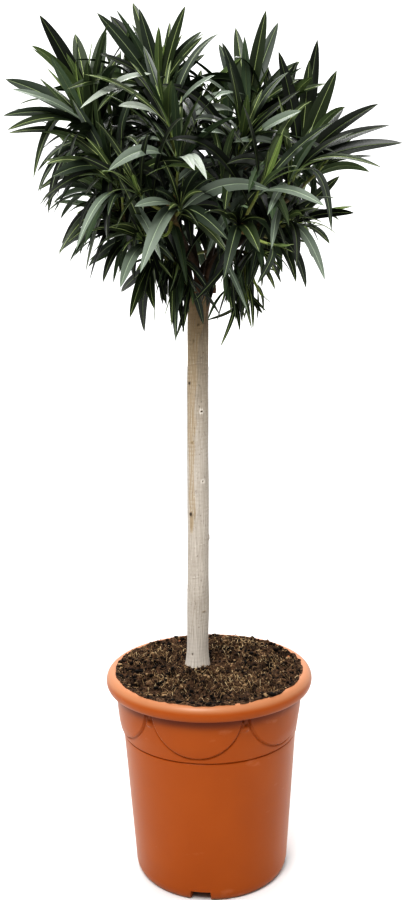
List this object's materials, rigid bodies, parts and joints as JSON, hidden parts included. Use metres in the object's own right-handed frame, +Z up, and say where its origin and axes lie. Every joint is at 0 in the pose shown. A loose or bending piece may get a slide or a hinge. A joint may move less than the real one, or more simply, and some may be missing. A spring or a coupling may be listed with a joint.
{
  "type": "potted oleander standard",
  "caption": "Oleander grown as a standard: a bare pale stem forking into canes under a ball of long narrow leaves, in a rolled-rim plastic pot.",
  "frame": {"origin": "centre of the pot's foot, in the plane it stands on", "axes": "+Z up the stem, -Y towards the side seen first, +X to its right"},
  "size_m": [0.611, 0.606, 1.391],
  "materials": {
    "pot": "satin moulded polypropylene, terracotta colour",
    "soil": "loose moist peat compost with pale fibres",
    "bark": "smooth pale grey-beige bark",
    "cane": "olive to brown young bark",
    "leaf": "leathery satin leaf, dark green"
  },
  "bodies": {
    "root": {"pot": "pot", "soil": "soil", "trunk": "bark", "bough_left_top": "cane", "bough_top_left": "cane", "bough_top_right": "cane", "bough_right_top": "cane", "bough_left_mid": "cane", "bough_front_left": "cane", "bough_front_right": "cane", "bough_back_left": "cane", "bough_back_right": "cane", "foliage_left_top": "leaf", "foliage_top_left": "leaf", "foliage_top_right": "leaf", "foliage_right_top": "leaf", "foliage_right_mid": "leaf", "foliage_right_low": "leaf", "foliage_left_mid": "leaf", "foliage_left_low": "leaf", "foliage_front_left": "leaf", "foliage_front_right": "leaf", "foliage_back_left": "leaf", "foliage_back_right": "leaf", "foliage_back_low": "leaf"}
  },
  "joints": []
}
